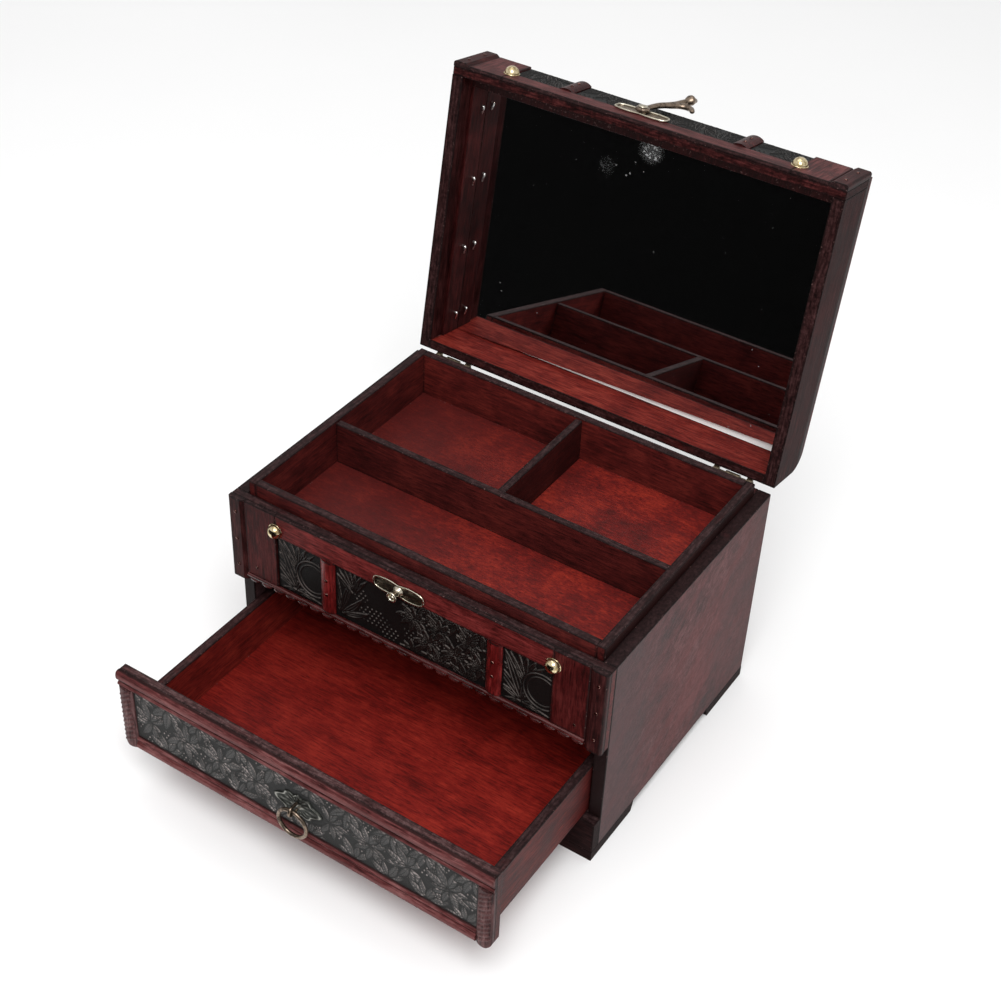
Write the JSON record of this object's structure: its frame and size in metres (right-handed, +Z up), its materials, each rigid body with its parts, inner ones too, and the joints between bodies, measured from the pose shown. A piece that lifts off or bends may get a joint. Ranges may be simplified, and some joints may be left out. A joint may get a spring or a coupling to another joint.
{
  "type": "jewelry box",
  "caption": "Retro wooden jewelry box with a hinged mirror lid, a swing-hook latch, a tray of compartments and a drawer with a ring pull.",
  "frame": {"origin": "under the middle of the carcass, on the plane that the feet stand on", "axes": "+Z up, the drawer and the latch face -Y, +X to the right as seen from the front"},
  "size_m": [0.22, 0.3281, 0.29],
  "materials": {
    "red_wood": "satin varnish",
    "worn_wood": "rubbed varnish",
    "leather": "embossed, semi-gloss",
    "bronze": "aged",
    "brass": "polished",
    "steel": "brass plated, dull",
    "mirror": "polished",
    "card": "matt"
  },
  "bodies": {
    "carcass": {"back_board": "red_wood", "base_strip": "red_wood", "bay_ceiling_board": "red_wood", "body_hinge_leaves": "steel", "body_hinge_screws": "steel", "body_nails": "brass", "body_tacks": "brass", "bottom_board": "red_wood", "corner_feet": "red_wood", "front_board": "red_wood", "front_flats": "worn_wood", "front_leather": "leather", "front_posts": "worn_wood", "front_rail": "worn_wood", "front_straps": "worn_wood", "hinge_pins": "steel", "latch_catch": "bronze", "left_side_panel": "red_wood", "right_side_panel": "red_wood", "scalloped_moulding": "worn_wood", "tray_back_wall": "red_wood", "tray_floor": "red_wood", "tray_front_wall": "red_wood", "tray_long_divider": "red_wood", "tray_short_divider": "red_wood", "tray_side_walls": "red_wood"},
    "lid": {"lid_back_wall": "red_wood", "lid_flats": "worn_wood", "lid_front_board": "red_wood", "lid_front_leather": "leather", "lid_hinge_leaves": "steel", "lid_hinge_screws": "steel", "lid_latch_plate": "bronze", "lid_left_wall": "red_wood", "lid_nails": "brass", "lid_posts": "worn_wood", "lid_right_wall": "red_wood", "lid_rim_rail": "worn_wood", "lid_straps": "worn_wood", "lid_tacks": "brass", "lid_top_board": "red_wood", "lid_top_borders": "worn_wood", "lid_top_leather": "leather", "mirror": "mirror", "mirror_backing": "card", "mirror_rails": "red_wood", "rail_brads": "steel"},
    "drawer": {"drawer_back": "red_wood", "drawer_end_strips": "worn_wood", "drawer_floor": "red_wood", "drawer_front_board": "red_wood", "drawer_leather": "leather", "drawer_left_side": "red_wood", "drawer_mouldings": "worn_wood", "drawer_right_side": "red_wood", "escutcheon": "bronze", "ring_staple": "bronze"},
    "hook": {"latch_hook": "bronze"},
    "ring": {"pull_ring": "bronze"}
  },
  "joints": [
    {"name": "lid_hinge", "type": "hinge", "parent": "carcass", "child": "lid", "pos_m": [0, 0.079, 0.12715], "axis": [1, 0, 0], "range_deg": [0, 100]},
    {"name": "drawer_slide", "type": "slide", "parent": "carcass", "child": "drawer", "axis": [0, 1, 0], "range_m": [-0.03, 0.088]},
    {"name": "hook_pivot", "type": "hinge", "parent": "lid", "child": "hook", "pos_m": [-0.0055, 0.1189, 0.28634], "axis": [0, -0.1736, -0.9848], "range_deg": [-30, 145]},
    {"name": "ring_swing", "type": "hinge", "parent": "drawer", "child": "ring", "pos_m": [0, -0.17515, 0.0498], "axis": [-1, 0, 0], "range_deg": [-3, 95]}
  ]
}
